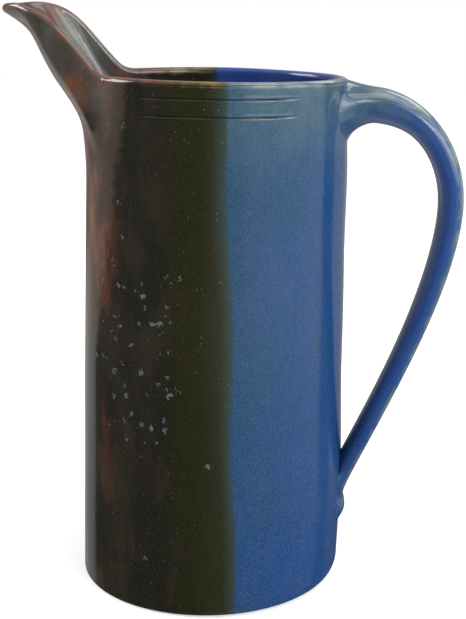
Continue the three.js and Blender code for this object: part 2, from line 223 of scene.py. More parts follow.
def wall_end(across):
    """Height of the wall's end, below its rounded edge, at a place across the spout."""
    place = np.abs(across)
    drop = LIP_DROP * bell((across + LIP_DROP_PLACE) / LIP_DROP_SPREAD)
    return np.where(place < 1, lip_z(np.minimum(place, 1)) - drop, RIM_END)


def wall_middle(across, level):
    """The middle of the wall. across is the angle over the spout's half span; level is 0 where the spout
    starts to swell and 1 at the wall's end, and negative below the spout."""
    across, level = np.broadcast_arrays(np.asarray(across, float), np.asarray(level, float))
    angle = across * SPOUT_HALF_SPAN
    end = np.where(level > 0, wall_end(across), RIM_END)
    z = mix(SPOUT_START_HEIGHT, end, level)
    above = np.clip(level, 0, 1)
    dip = THROAT_DIP * bell((z - THROAT_HEIGHT) / THROAT_SPREAD) * bell(across) * (1 - above)
    radius = middle_radius(z) - dip
    place = np.minimum(np.abs(across), 1)
    reach_x = lip_x(place) + middle_radius(end) * np.cos(angle)
    reach_y = np.sign(across) * lip_y(place) - middle_radius(end) * np.sin(angle)
    side_rise = smooth_step((above - SIDE_RISE_START) / (1 - SIDE_RISE_START))
    rise = mix(keel_rise(above), side_rise, smooth_step(place / KEEL_SHARE))
    rise = np.where((np.abs(across) < 1) & (level > 0), rise, 0)
    x = -radius * np.cos(angle) + reach_x * rise
    y = radius * np.sin(angle) + reach_y * rise
    return np.stack([x, y, z], -1)


def wall_directions(across, level):
    """The wall's outward direction, and the direction in which it rises."""
    e = 1e-3
    around = wall_middle(across + e, level) - wall_middle(across - e, level)
    level = np.asarray(level, float)
    up = wall_middle(across, np.minimum(level + e, 1)) - wall_middle(across, np.minimum(level, 1 - e) - e)
    out = unit(np.cross(up, around))
    return out, unit(np.cross(around, out))


def thickness_at(across, level):
    plain = wall_thickness(mix(SPOUT_START_HEIGHT, RIM_END, level))
    lip = mix(SPOUT_LIP_THICKNESS, SPOUT_TIP_THICKNESS, bell(across / TIP_SHARE))
    return mix(plain, lip, np.clip(1 - across ** 2, 0, 1) * np.clip(level, 0, 1))


# ------------------------------------------------------------------ surface relief of the thrown clay

def angle_of(point):
    """Angle around the body, from the spout's side."""
    return np.arctan2(point[..., 1], -point[..., 0])


def groove_relief(angle, z):
    """The incised lines, with a low burr beside each, wiped away next to the spout and the handle."""
    degrees = np.abs(np.degrees(angle))
    fade = smooth_step((degrees - GROOVE_FADE_AT_SPOUT) / GROOVE_SOFTNESS_AT_SPOUT)
    fade = fade * smooth_step((GROOVE_FADE_AT_HANDLE - degrees) / GROOVE_SOFTNESS_AT_HANDLE)
    wander = 0.35 * np.sin(angle * 2 + 0.6) + 0.15 * np.sin(angle * 5 + 2)
    relief = 0
    for depth in GROOVE_DEPTHS_BELOW_RIM:
        off = (z - (RIM_HEIGHT - depth) - wander) / GROOVE_HALF_WIDTH
        cut = GROOVE_DEPTH * bell(off * 1.3)
        burr = GROOVE_BURR * (bell((off - 1.7) * 1.2) + bell((off + 1.7) * 1.2))
        relief = relief + burr - cut
    return relief * fade


def outside_relief(angle, z):
    """Slow waviness left by the throwing hand, and low swellings where the handle was pressed on. The wall
    draws in a little at the foot."""
    swell = 0.22 * np.sin(z / 34 + 0.8) * np.cos(angle - 0.7) + 0.16 * np.sin(z / 19 + 2.1 + 0.5 * angle)
    oval = 0.25 * np.cos(2 * angle + 0.4)
    rings = 0.008 * np.sin(TAU * z / 7.3 + angle) + 0.004 * np.sin(TAU * z / 3.9 - angle + 1)
    pressed = (0.5 * bell((z - 207) / 20) + 1.2 * bell((z - 50) / 34)) * bell(np.cos(angle / 2) / 0.4)
    foot = 0.45 * bell(z / 30)
    return swell + oval + rings + pressed - foot + groove_relief(angle, z)


def inside_relief(angle, z):
    """Deeper finger rings inside, which climb in a spiral."""
    return 0.22 * np.sin(TAU * z / 9.5 + angle) + 0.08 * np.sin(TAU * z / 5.1 + angle + 1)


def skin(across, level, side):
    """A point of the glazed skin: side is 1 outside and -1 inside."""
    out, _ = wall_directions(across, level)
    half = thickness_at(across, level) / 2
    point = wall_middle(across, level)
    angle, z = angle_of(point), point[..., 2]
    if side > 0:
        relief = outside_relief(angle, z) * smooth_step((RIM_HEIGHT + 40 - z) / 30)
    else:
        relief = inside_relief(angle, z) * smooth_step((RIM_END - z) / 25)
    return point + out * (side * half + relief)[..., None]


# ------------------------------------------------------------------ mesh making

def fan(ring, centre):
    """Triangles from a ring of points to one at its centre."""
    return [[centre, after, at] for at, after in zip(ring, ring[1:] + ring[:1])]


def ladder(ring):
    """Faces across a ring, from its first and last points inwards."""
    faces = []
    near, far = 0, len(ring) - 1
    while near + 1 < far:
        face = [ring[near], ring[far], ring[far - 1]]
        if near + 1 < far - 1:
            face.append(ring[near + 1])
        faces.append(face)
        near, far = near + 1, far - 1
    return faces


def capped_faces(count, size, caps):
    """The faces of a grid of closed rings with its two ends capped, and the centres that its fans add. A cap
    is the centre of a fan, or None for a ladder."""
    index = np.arange(count * size).reshape(count, size)
    after = np.roll(index, -1, axis=1)
    faces = np.stack([index[:-1], after[:-1], after[1:], index[1:]], -1).reshape(-1, 4).tolist()
    centres = []
    for ring, cap, flip in ((index[0], caps[0], False), (index[-1], caps[1], True)):
        if cap is None:
            end = ladder(ring.tolist())
        else:
            end = fan(ring.tolist(), count * size + len(centres))
            centres.append(cap)
        faces += [face[::-1] for face in end] if flip else end
    return faces, centres


def solid(name, rows, caps, values):
    """A closed, glazed mesh from rows of closed rings, in millimetres. values are named numbers stored at
    each point of the rows."""
    count, size = rows.shape[:2]
    faces, centres = capped_faces(count, size, caps)
    points = np.concatenate([rows.reshape(-1, 3), np.array(centres, float).reshape(-1, 3)])
    mesh = bpy.data.meshes.new(name)
    mesh.from_pydata((points * MM).tolist(), [], faces)
    mesh.polygons.foreach_set("use_smooth", np.ones(len(faces), bool))
    for key, value in values.items():
        column = np.zeros(len(points), np.float32)
        column[:count * size] = value.reshape(-1)
        mesh.attributes.new(key, "FLOAT", "POINT").data.foreach_set("value", column)
    mesh.materials.append(bpy.data.materials["glaze"])
    mesh.validate()
    mesh.set_sharp_from_angle(angle=SHARP_ANGLE)
    if signed_volume(mesh) < 0:
        mesh.flip_normals()
    mesh.update()
    piece = bpy.data.objects.new(name, mesh)
    bpy.context.scene.collection.objects.link(piece)
    return piece


def signed_volume(mesh):
    """Six times the mesh's volume, negative when its faces look inwards."""
    mesh.calc_loop_triangles()
    corners = np.zeros(len(mesh.vertices) * 3)
    mesh.vertices.foreach_get("co", corners)
    corners = corners.reshape(-1, 3)
    triangles = np.zeros(len(mesh.loop_triangles) * 3, np.int32)
    mesh.loop_triangles.foreach_get("vertices", triangles)
    a, b, c = (corners[triangles.reshape(-1, 3)[:, i]] for i in range(3))
    return float(np.einsum("ij,ij->i", np.cross(a, b), c).sum())


# ------------------------------------------------------------------ thrown body

SPOUT_COLUMNS = np.radians(np.linspace(-87, 87, 117))
EDGE_TURNS = np.radians(np.linspace(0, 180, 15)[1:-1])
PLAIN_COLUMNS = 225
FINE_FROM = 231
RIM_ROWS = 11


def notch_height(across, depth):
    return RIM_END - depth * np.sqrt(np.maximum(1 - across ** 2, 0))


def level_of(across, z):
    return (z - SPOUT_START_HEIGHT) / (wall_end(across) - SPOUT_START_HEIGHT)


def top_level(across):
    """Level of the body's top edge: the notch under the spout, the rim everywhere else."""
    return np.where(np.abs(across) < 1, level_of(across, notch_height(across, NOTCH_DEPTH)), 1)


def rim_lift(point):
    """Raises the rim a little on the +Y side."""
    near_rim = smooth_step((point[..., 2] - RIM_LIFT_START) / RIM_LIFT_BLEND)
    share = near_rim * bell((angle_of(point) - RIM_LIFT_ANGLE) / RIM_LIFT_SPREAD)
    return point + RIM_LIFT * share[..., None] * np.array([0, 0, 1])


def rounded_edge(across):
    """The rounded edge of the rim and lip as rows of points, from outside to inside."""
    out, rising = wall_directions(across, np.ones_like(across))
    outside = skin(across, 1.0, 1)
    inside = skin(across, 1.0, -1)
    middle = (outside + inside) / 2
    half = np.linalg.norm(outside - inside, axis=-1, keepdims=True) / 2
    return np.stack([middle + half * (math.cos(t) * out + math.sin(t) * rising) for t in EDGE_TURNS])


def body_columns():
    """Places around the body, as shares of the spout's half span: closer together under the spout, and
    negative on the -Y side."""
    plain = np.linspace(SPOUT_HALF_SPAN, TAU - SPOUT_HALF_SPAN, PLAIN_COLUMNS)
    across = np.concatenate([np.sin(SPOUT_COLUMNS), plain / SPOUT_HALF_SPAN])
    return np.where(across * SPOUT_HALF_SPAN > math.pi, across - TAU / SPOUT_HALF_SPAN, across)


def on_angle(angle, radius, z):
    return np.stack([-radius * np.cos(angle), radius * np.sin(angle), z + 0 * angle], -1)


def bevel_rows(angle):
    """The bevel at the foot, which was trimmed by hand and is wider at the handle."""
    bevel = BEVEL_MEAN - BEVEL_SWING * np.cos(angle) + BEVEL_WAVER * np.sin(3 * angle + 1)
    height = bevel * BEVEL_STEEPNESS
    rows = []
    for turn in np.linspace(0, math.pi / 2, 13):
        radius = outer_radius(height) + outside_relief(angle, height) - bevel * (1 - math.sin(turn))
        rows.append(on_angle(angle, radius, height * (1 - math.cos(turn))))
    return np.stack(rows)


def wall_rows(across, heights, side):
    """Rows of the wall's skin. The heights are those of the plain wall, and under the spout they are squeezed
    to end at the notch."""
    levels = (heights - SPOUT_START_HEIGHT) / (RIM_END - SPOUT_START_HEIGHT)
    top = top_level(across)
    return np.stack([skin(across, np.where(at > 0, at * top, at), side) for at in levels])


def body_edge(across):
    """The body's top edge: rounded along the rim, and cut straight under the spout."""
    top = top_level(across)
    share = ((np.arange(len(EDGE_TURNS)) + 1) / (len(EDGE_TURNS) + 1))[:, None, None]
    cut_edge = mix(skin(across, top, 1)[None], skin(across, top, -1)[None], share)
    return np.where((np.abs(across) < 1)[None, :, None], cut_edge, rounded_edge(across))


def floor_rows(angle):
    """The fillet at the foot of the inside, and the floor with the spiral that the fingers left."""
    foot = FLOOR_THICKNESS + FLOOR_FILLET
    inner = outer_radius(foot) - wall_thickness(foot)
    rows = []
    for turn in np.linspace(math.pi / 2, 0, 12):
        radius = inner - FLOOR_FILLET * (1 - math.sin(turn)) + inside_relief(angle, foot) * math.sin(turn)
        rows.append(on_angle(angle, radius, FLOOR_THICKNESS + FLOOR_FILLET * (1 - math.cos(turn))))
    for radius in np.linspace(inner - FLOOR_FILLET, 1.5, 26)[1:]:
        spiral = 0.25 * np.sin(TAU * radius / 11 + angle) * smooth_step(radius / 12)
        rows.append(on_angle(angle, radius + 0 * angle, FLOOR_THICKNESS + spiral))
    return np.stack(rows)


def body_thin(rows, across, first_edge):
    """How thin the glaze lies on the body: it breaks on the rim and the burrs, and pools in the grooves."""
    thin = np.zeros(rows.shape[:2])
    on_rim = np.abs(across) >= 1
    first_inside = first_edge + len(EDGE_TURNS)
    thin[first_edge:first_inside] = np.sin(EDGE_TURNS)[:, None] * on_rim
    relief = groove_relief((across * SPOUT_HALF_SPAN)[None], rows[:first_edge, :, 2])
    thin[:first_edge] = np.where(relief > 0, relief / GROOVE_BURR * 0.2, relief / GROOVE_DEPTH)
    near_rim = np.linspace(0, 0.8, RIM_ROWS)[:, None] ** 2 * on_rim
    thin[first_edge - RIM_ROWS:first_edge] += near_rim
    thin[first_inside:first_inside + 3] = near_rim[:2:-3]
    return thin


def make_body():
    across = body_columns()
    angle = across * SPOUT_HALF_SPAN
    bevel = bevel_rows(angle)
    up = [np.arange(14, SPOUT_START_HEIGHT, 1.6), np.arange(SPOUT_START_HEIGHT, FINE_FROM, 1.0),
          np.arange(FINE_FROM, RIM_END, 0.22), [RIM_END]]
    down = [np.arange(RIM_END, SPOUT_START_HEIGHT, -1.2), np.arange(SPOUT_START_HEIGHT, 17, -2.0)]
    outside = wall_rows(across, np.concatenate(up), 1)
    inside = wall_rows(across, np.concatenate(down), -1)
    rows = rim_lift(np.concatenate([bevel, outside, body_edge(across), inside, floor_rows(angle)]))
    thin = body_thin(rows, across, len(bevel) + len(outside))
    return solid("thrown_body_glazed", rows, ((0, 0, 0), (0, 0, FLOOR_THICKNESS)), {"thin": thin})


# ------------------------------------------------------------------ spout

def make_spout():
    across = np.sin(SPOUT_COLUMNS)
    root = top_level(across)
    shares = np.linspace(0, 1, 72)
    outside = np.stack([skin(across, mix(root, 1, s), 1) for s in shares])
    inside = np.stack([skin(across, mix(root, 1, s), -1) for s in shares[::-1]])
    edge = rounded_edge(across)
    rings = rim_lift(np.concatenate([outside, edge, inside]).transpose(1, 0, 2))
    near_lip = smooth_step((shares - 0.93) / 0.07) * 0.35
    thin = np.concatenate([near_lip, np.maximum(0.8 * np.sin(EDGE_TURNS), 0.35), near_lip[::-1]])
    values = {"thin": np.broadcast_to(thin, rings.shape[:2])}
    return solid("spout_beak_glazed", rings, (None, None), values)


# ------------------------------------------------------------------ handle

spine_steps = [0] + [math.dist(a, b) for a, b in zip(HANDLE_SPINE, HANDLE_SPINE[1:])]
spine_total = sum(spine_steps)
spine_table = [(sum(spine_steps[:i + 1]) / spine_total, x, z) for i, (x, z) in enumerate(HANDLE_SPINE)]
spine_x = batten(spine_table, 1)
spine_z = batten(spine_table, 2)
strap_thickness = batten(STRAP_THICKNESS, 1)
strap_width = batten(STRAP_WIDTH, 1)
STRAP_TURNS = np.linspace(0, TAU, 96, endpoint=False)


def strap_direction(along):
    """The direction in which the strap runs, away from the rim."""
    low, high = along - 1e-3, along + 1e-3
    return unit(np.array([spine_x(high) - spine_x(low), 0, spine_z(high) - spine_z(low)]))


def strap_ring(along):
    """A rounded-rectangle section of the strap with the soft ribs that pulling leaves along it. A turn of 0
    is the strap's outer face."""
    run = strap_direction(along)
    outward = np.array([-run[2], 0, run[0]])
    c, s = np.cos(STRAP_TURNS), np.sin(STRAP_TURNS)
    reach = (np.abs(c) ** STRAP_ROUNDNESS + np.abs(s) ** STRAP_ROUNDNESS) ** (-1 / STRAP_ROUNDNESS)
    half_thick = c * reach * float(strap_thickness(along)) / 2
    half_wide = s * reach * float(strap_width(along)) / 2
    centre = np.array([float(spine_x(along)), 0, float(spine_z(along))])
    channel = 0.55 * bell(half_wide / 3.2) * np.clip(c * 3, 0, 1)
    side_hollow = 0.35 * bell(half_thick / 2.4) * np.clip(np.abs(s) * 3 - 2, 0, 1)
    ring = centre + outward * (half_thick - channel)[:, None]
    ring[:, 1] += half_wide - np.sign(s) * side_hollow
    return ring


def shoulder_values():
    """Two bands around the strap's section: thin glaze on its outer soft shoulder, which also carries a
    painted highlight, and painted bounce light from the white floor on its inner soft shoulder.
    """
    turned = np.degrees(np.arctan2(np.abs(np.sin(STRAP_TURNS)), np.cos(STRAP_TURNS)))
    return 0.9 * bell((turned - 34) / 28), bell((turned - 138) / 18)


def make_strap():
    places = np.linspace(STRAP_FROM, STRAP_TO, 190)
    rings = np.stack([strap_ring(a) for a in places])
    outer, inner = shoulder_values()
    size = rings.shape[:2]
    # The outer band is thin glaze with a painted highlight; the inner band is painted bounce light from the
    # white floor.
    values = {"thin": np.broadcast_to(outer, size), "inner_sheen": np.broadcast_to(inner, size)}
    ends = [rings[0].mean(0), rings[-1].mean(0)]
    return solid("handle_strap_glazed", rings, ends, values)


EDGE_RADIUS = WALL_AT_RIM / 2
QUARTER_EDGE = EDGE_RADIUS * math.pi / 2


def over_body(around, down, lift):
    """A point over the body's skin on the handle's side. around is the distance from the +X line, and down
    the distance from the rim's crest, over the rounded edge and down the wall."""
    turn = np.minimum(down, QUARTER_EDGE) / EDGE_RADIUS
    on_wall = down > QUARTER_EDGE
    z = np.where(on_wall, RIM_END - (down - QUARTER_EDGE), RIM_END + EDGE_RADIUS * np.cos(turn))
    angle = around / RIM_RADIUS
    relief = outside_relief(math.pi - angle, np.minimum(z, RIM_END))
    radius = np.where(on_wall, outer_radius(z), RIM_MIDDLE + EDGE_RADIUS * np.sin(turn)) + relief
    out_z = np.where(on_wall, 0, np.cos(turn))
    out_r = np.where(on_wall, 1, np.sin(turn))
    radius = radius + lift * out_r
    return np.stack([radius * np.cos(angle), radius * np.sin(angle), z + lift * out_z], -1)


def down_to(z):
    """Distance from the rim's crest, over the rounded edge, down to a height on the wall."""
    return QUARTER_EDGE + RIM_END - z


def make_joint(name, place, joint, facing, relief):
    """One joint of the handle: the strap's section is drawn out over the wall. facing is 1 for the upper
    joint, where the strap's outer face is on top, and -1 for the lower one."""
    start = strap_ring(place)
    pull = -facing * strap_direction(place)
    c, s = np.cos(STRAP_TURNS), np.sin(STRAP_TURNS)

    def patch(share, lift):
        down = down_to(joint["centre"]) - facing * joint["half_height"] * share * c
        return over_body(joint["half_width"] * share * s, down, lift)

    edge = patch(1, -0.3)
    spread = unit(patch(1.03, 0) - patch(0.97, 0))
    inner_side = smooth_step((1 - c) / 2) if facing < 0 else 0 * c
    leave = pull * mix(joint["leaving"], CROTCH_PULL, inner_side)[:, None]
    arrive = spread * mix(joint["spreading"], CROTCH_PULL, inner_side)[:, None]
    shares = np.linspace(0, 1, 48)
    rings = np.stack([blend_path(start, leave, edge, arrive, t) for t in shares])
    rings = relief(rings, shares[:, None], c[None], s[None])
    fading = (1 - smooth_step(shares * 1.6))[:, None]
    outer, inner = shoulder_values()
    # The outer band is thin glaze with a painted highlight; the inner band is painted bounce light from the
    # white floor, and both fade out over the joint.
    values = {"thin": outer * fading, "inner_sheen": inner * fading}
    return solid(name, rings, (start.mean(0), patch(0, -1.5)[0]), values)


def upper_relief(rings, t, c, s):
    """The thumb presses a hollow into each side of the upper joint, under the strap's shoulder."""
    press = 1.6 * bell((t - 0.4) / 0.22) * bell((c + 0.25) / 0.4) * np.abs(s)
    rings = rings.copy()
    rings[..., 1] -= np.sign(s) * press
    return rings


def lower_relief(rings, t, _c, _s):
    """The roll under the thumb mark, near the joint's lower edge."""
    roll = bell((rings[..., 2] - THUMB_ROLL_HEIGHT) / THUMB_ROLL_SPREAD)
    roll = roll * bell(rings[..., 1] / THUMB_ROLL_HALF_WIDTH)
    height = THUMB_ROLL_RISE * roll * smooth_step(t) * (1 - t ** 8)
    away = unit(rings * np.array([1, 1, 0]))
    return rings + away * height[..., None]


# ------------------------------------------------------------------ materials

class Nodes:
    """Short calls that add and link shader nodes."""

    def __init__(self, tree):
        self.tree = tree

    def add(self, kind, inputs=(), **settings):
        node = self.tree.nodes.new(kind)
        for key, value in settings.items():
            setattr(node, key, value)
        for key, value in dict(inputs).items():
            self.put(node.inputs[key], value)
        return node

    def put(self, socket, value):
        if isinstance(value, bpy.types.NodeSocket):
            self.tree.links.new(value, socket)
        elif isinstance(value, tuple) and socket.type == "RGBA" and len(value) == 3:
            socket.default_value = (*value, 1)
        else:
            socket.default_value = value

    def math(self, operation, a, b=0.0, c=0.0):
        node = self.add("ShaderNodeMath", operation=operation)
        for socket, value in zip(node.inputs, (a, b, c)):
            self.put(socket, value)
        return node.outputs[0]

    def smooth(self, value, low, high, to_low=0.0, to_high=1.0):
        node = self.add("ShaderNodeMapRange", interpolation_type="SMOOTHSTEP")
        for key, number in zip(("Value", "From Min", "From Max", "To Min", "To Max"),
                               (value, low, high, to_low, to_high)):
            self.put(node.inputs[key], number)
        return node.outputs["Result"]

    def mix(self, factor, a, b):
        node = self.add("ShaderNodeMix", data_type="RGBA", clamp_factor=True)
        for socket, value in zip((node.inputs[0], node.inputs[6], node.inputs[7]), (factor, a, b)):
            self.put(socket, value)
        return node.outputs[2]

    def noise(self, vector, scale, detail=3.0, roughness=0.5):
        inputs = {"Vector": vector, "Scale": scale, "Detail": detail, "Roughness": roughness}
        return self.add("ShaderNodeTexNoise", inputs).outputs["Fac"]

    def cells(self, vector, scale):
        """Distance to the nearest cell's middle, and three random numbers for each cell."""
        cell = self.add("ShaderNodeTexVoronoi", {"Vector": vector, "Scale": scale}).outputs
        lots = self.add("ShaderNodeSeparateColor", {"Color": cell["Color"]}).outputs
        return cell["Distance"], lots

    def stretched(self, vector, x, y, z):
        return self.add("ShaderNodeMapping", {"Vector": vector, "Scale": (x, y, z)}).outputs["Vector"]

    def attribute(self, name):
        return self.add("ShaderNodeAttribute", attribute_name=name).outputs["Fac"]

    def bump(self, height, distance, strength=1.0, normal=None):
        inputs = {"Height": height, "Distance": distance, "Strength": strength}
        if normal is not None:
            inputs["Normal"] = normal
        return self.add("ShaderNodeBump", inputs).outputs["Normal"]


def new_material(name):
    material = bpy.data.materials.new(name)
    material.use_nodes = True
    material.node_tree.nodes.clear()
    nodes = Nodes(material.node_tree)
    shader = nodes.add("ShaderNodeBsdfPrincipled")
    output = nodes.add("ShaderNodeOutputMaterial")
    nodes.put(output.inputs["Surface"], shader.outputs["BSDF"])
    return nodes, shader


COBALT = (0.010, 0.050, 0.190)
BLUE = (0.012, 0.058, 0.128)
GREY_BLUE = (0.056, 0.115, 0.138)
HANDLE_COBALT = (0.018, 0.060, 0.240)
INNER_COBALT = (0.030, 0.075, 0.340)
# Painted bounce light from the white floor, on the strap's inner shoulder.
INNER_SHEEN_VIOLET = (0.140, 0.170, 0.270)
DEEP_BLUE = (0.006, 0.026, 0.085)
GREEN_GREY = (0.110, 0.150, 0.115)
# Milky blue of thin glaze, also used as a painted highlight.
MILK_AND_SHEEN_BLUE = (0.230, 0.290, 0.300)
TEMMOKU = (0.014, 0.013, 0.009)
BROWN = (0.036, 0.029, 0.019)
OLIVE = (0.017, 0.017, 0.004)
RUST = (0.170, 0.058, 0.030)
MIST = (0.085, 0.072, 0.062)
BREAK_RUST = (0.200, 0.055, 0.016)
BREAK_OCHRE = (0.270, 0.170, 0.030)
TEAL = (0.028, 0.050, 0.040)
SPECK = (0.006, 0.011, 0.020)
# A painted reflection of a bright light, on the beak's far inner wall.
BEAK_SHEEN_OLIVE = (0.170, 0.175, 0.140)
DUSTY = (0.070, 0.066, 0.045)
POOLED = (0.004, 0.007, 0.009)
PALE_SPECK = (0.300, 0.320, 0.260)
# Light flakes: partly torn glaze, partly a painted glint in each blister.
BLISTER_AND_GLINT = (0.120, 0.150, 0.175)
BARE_CLAY = (0.230, 0.150, 0.095)
PALE_CLAY = (0.330, 0.230, 0.150)


# Where the two glazes meet: how far the line leans for each metre below the rim, and where it is at the rim.
# Then its slow wave, with the radians that it turns in a metre, how it bends towards the back, how far the
# glaze ran and frayed, and a shift of the whole line. Lengths are in metres.
LINE_LEAN = 0.033
LINE_START = 0.0016
LINE_WAVE = 0.0009
LINE_WAVE_TURN = 57
LINE_BEND = -0.13
LINE_RUNS = 0.003
LINE_RAGGED = 0.0016
LINE_SHIFT = -0.003

DOT_FADE = 0.03


def dots(nodes, place, scale, least, size):
    """Round dots: the share of cells above least get one, up to size of a cell in radius."""
    distance, lots = nodes.cells(place, scale)
    radius = nodes.smooth(lots[0], least, least + 0.5 * (1 - least), 0.0, size)
    inside = nodes.math("SUBTRACT", radius, distance)
    return nodes.smooth(inside, 0.0, DOT_FADE)


def glaze_line(nodes, place, x, y, z):
    """How far a point lies past the line where the two glazes meet, which leans a little and wanders."""
    depth = nodes.math("SUBTRACT", body_high.z, z)
    line = nodes.math("MULTIPLY_ADD", depth, LINE_LEAN, LINE_START)
    wave = nodes.math("COSINE", nodes.math("MULTIPLY", depth, LINE_WAVE_TURN))
    line = nodes.math("MULTIPLY_ADD", wave, LINE_WAVE, line)
    line = nodes.math("MULTIPLY_ADD", y, LINE_BEND, line)
    long_runs = nodes.noise(nodes.stretched(place, 1, 1, 0.1), 30, 3)
    ragged = nodes.noise(nodes.stretched(place, 1, 1, 0.3), 420, 2)
    line = nodes.math("MULTIPLY_ADD", long_runs, LINE_RUNS, line)
    line = nodes.math("MULTIPLY_ADD", ragged, LINE_RAGGED, line)
    return nodes.math("SUBTRACT", nodes.math("SUBTRACT", x, line), LINE_SHIFT)


def blue_glaze(nodes, place, x, y, z, thin, grain):
    """Cobalt where it lies thick, clouding to grey-blue, with fine long runs and iron specks. It also carries
    a painted highlight where it is thin up high, and painted bounce light on the strap's inner shoulder.
    """
    cloud = nodes.noise(place, 30, 4, 0.6)
    runs = nodes.noise(nodes.stretched(place, 1, 1, 0.08), 420, 3, 0.6)
    thick = nodes.math("MULTIPLY_ADD", x, 6.5, nodes.math("MULTIPLY", z, -1.3))
    thick = nodes.math("ADD", thick, nodes.math("MULTIPLY", cloud, 1.1))
    thick = nodes.math("SUBTRACT", thick, nodes.math("MULTIPLY", thin, 0.9))
    blue = nodes.mix(nodes.smooth(thick, 0.3, 0.9), BLUE, COBALT)
    milky = nodes.math("MULTIPLY_ADD", runs, 0.3, nodes.math("MULTIPLY", cloud, 0.6))
    milky = nodes.math("ADD", milky, nodes.math("MULTIPLY", nodes.smooth(z, 0.19, 0.25), 0.22))
    blue = nodes.mix(nodes.math("MULTIPLY", nodes.smooth(milky, 0.42, 0.85), 0.7), blue, GREY_BLUE)
    blue = nodes.mix(nodes.math("MULTIPLY", nodes.smooth(grain, 0.5, 0.68), 0.6), blue, GREY_BLUE)
    blue = nodes.mix(nodes.math("MULTIPLY", nodes.smooth(grain, 0.48, 0.34), 0.7), blue, DEEP_BLUE)
    blue = nodes.mix(nodes.smooth(x, 0.072, 0.09, 0.0, 0.6), blue, HANDLE_COBALT)
    patchy = nodes.smooth(nodes.noise(place, 130, 4), 0.3, 0.6)
    beside_handle = nodes.math("MULTIPLY", nodes.smooth(z, 0.215, 0.25), nodes.smooth(x, 0.012, 0.038))
    green = nodes.math("MAXIMUM", nodes.smooth(thin, 0.02, 0.5), nodes.math("MULTIPLY", beside_handle, 0.4))
    blue = nodes.mix(nodes.math("MULTIPLY", nodes.math("MULTIPLY", green, patchy), 0.8), blue, GREEN_GREY)
    # Milky blue where the glaze is thin: partly the glaze breaking, partly a painted highlight on the
    # handle's top and the rim, made stronger higher up.
    high = nodes.smooth(z, 0.12, 0.22, 0.3, 1.0)
    high = nodes.math("MULTIPLY", high, nodes.math("MULTIPLY_ADD", patchy, 0.45, 0.3))
    milk_and_sheen = nodes.math("MULTIPLY", nodes.smooth(thin, 0.35, 0.9), high)
    blue = nodes.mix(milk_and_sheen, blue, MILK_AND_SHEEN_BLUE)
    # Painted bounce light from the white floor on the strap's inner shoulder, dimmed low down as painted
    # shade in the crotch of the lower joint.
    inner_sheen = nodes.math("MULTIPLY", nodes.attribute("inner_sheen"), nodes.smooth(z, 0.06, 0.17, 0.06, 0.6))
    blue = nodes.mix(inner_sheen, blue, INNER_SHEEN_VIOLET)
    radius = nodes.math("SQRT", nodes.math("MULTIPLY_ADD", x, x, nodes.math("MULTIPLY", y, y)))
    blue = nodes.mix(nodes.smooth(radius, 0.0612, 0.0592, 0.0, 0.9), blue, INNER_COBALT)
    blue = nodes.mix(nodes.math("MULTIPLY", dots(nodes, place, 330, 0.2, 0.13), 0.75), blue, SPECK)
    return nodes.mix(nodes.math("MULTIPLY", dots(nodes, place, 650, 0.3, 0.2), 0.5), blue, SPECK)


def dark_glaze(nodes, place, x, y, z, thin, grain, past):
    """Black-brown iron glaze, olive towards the blue, rust where it is thin or patchy, and a mottled painted
    reflection on the beak's far inner wall.
    """
    olive_side = nodes.smooth(past, -0.036, -0.018)
    cloud = nodes.noise(nodes.stretched(place, 1, 1, 0.4), 60, 4, 0.6)
    dark = nodes.mix(nodes.math("MULTIPLY", nodes.smooth(cloud, 0.42, 0.7), 0.6), TEMMOKU, BROWN)
    dark = nodes.mix(nodes.math("MULTIPLY", olive_side, 0.85), dark, OLIVE)
    patches = nodes.noise(nodes.stretched(place, 1, 1, 0.45), 46, 4, 0.6)
    spout_side = nodes.smooth(x, -0.036, -0.052)
    on_spout = nodes.math("MULTIPLY", nodes.smooth(z, 0.222, 0.25), spout_side)
    misty = nodes.smooth(nodes.noise(nodes.stretched(place, 1, 1, 0.5), 60, 4, 0.6), 0.3, 0.66)
    misty = nodes.math("MULTIPLY", on_spout, nodes.math("MULTIPLY_ADD", misty, 0.5, 0.4))
    dark = nodes.mix(misty, dark, MIST)
    greenish = nodes.math("MULTIPLY", nodes.smooth(nodes.noise(place, 80, 4), 0.45, 0.7), on_spout)
    dark = nodes.mix(nodes.math("MULTIPLY", greenish, 0.35), dark, GREEN_GREY)
    # A painted reflection of a bright light, mottled, on the far inner wall of the beak.
    beak_sheen = nodes.math("MULTIPLY", nodes.smooth(y, 0.008, 0.022), nodes.smooth(z, 0.252, 0.268))
    beak_sheen = nodes.math("MULTIPLY", beak_sheen, nodes.smooth(nodes.noise(place, 70, 3), 0.25, 0.6))
    dark = nodes.mix(nodes.math("MULTIPLY", beak_sheen, 0.6), dark, BEAK_SHEEN_OLIVE)
    rusty = nodes.math("MULTIPLY", nodes.smooth(patches, 0.46, 0.58), spout_side)
    rusty = nodes.math("MULTIPLY", rusty, nodes.smooth(z, 0.10, 0.19, 0.25, 0.75))
    dark = nodes.mix(rusty, dark, RUST)
    dark = nodes.mix(nodes.math("MULTIPLY", nodes.smooth(grain, 0.52, 0.72), 0.4), dark, DUSTY)
    breaking = nodes.mix(nodes.smooth(past, -0.03, -0.012), BREAK_RUST, BREAK_OCHRE)
    torn = nodes.math("ADD", nodes.noise(place, 150, 4), nodes.math("MULTIPLY", thin, 0.7))
    torn = nodes.smooth(torn, 0.7, 1.2)
    dark = nodes.mix(nodes.math("MULTIPLY", torn, 0.9), dark, breaking)
    dark = nodes.mix(nodes.math("MULTIPLY", nodes.smooth(past, -0.007, 0.0), 0.8), dark, TEAL)
    return nodes.mix(nodes.math("MULTIPLY", dots(nodes, place, 480, 0.8, 0.12), 0.6), dark, PALE_SPECK)


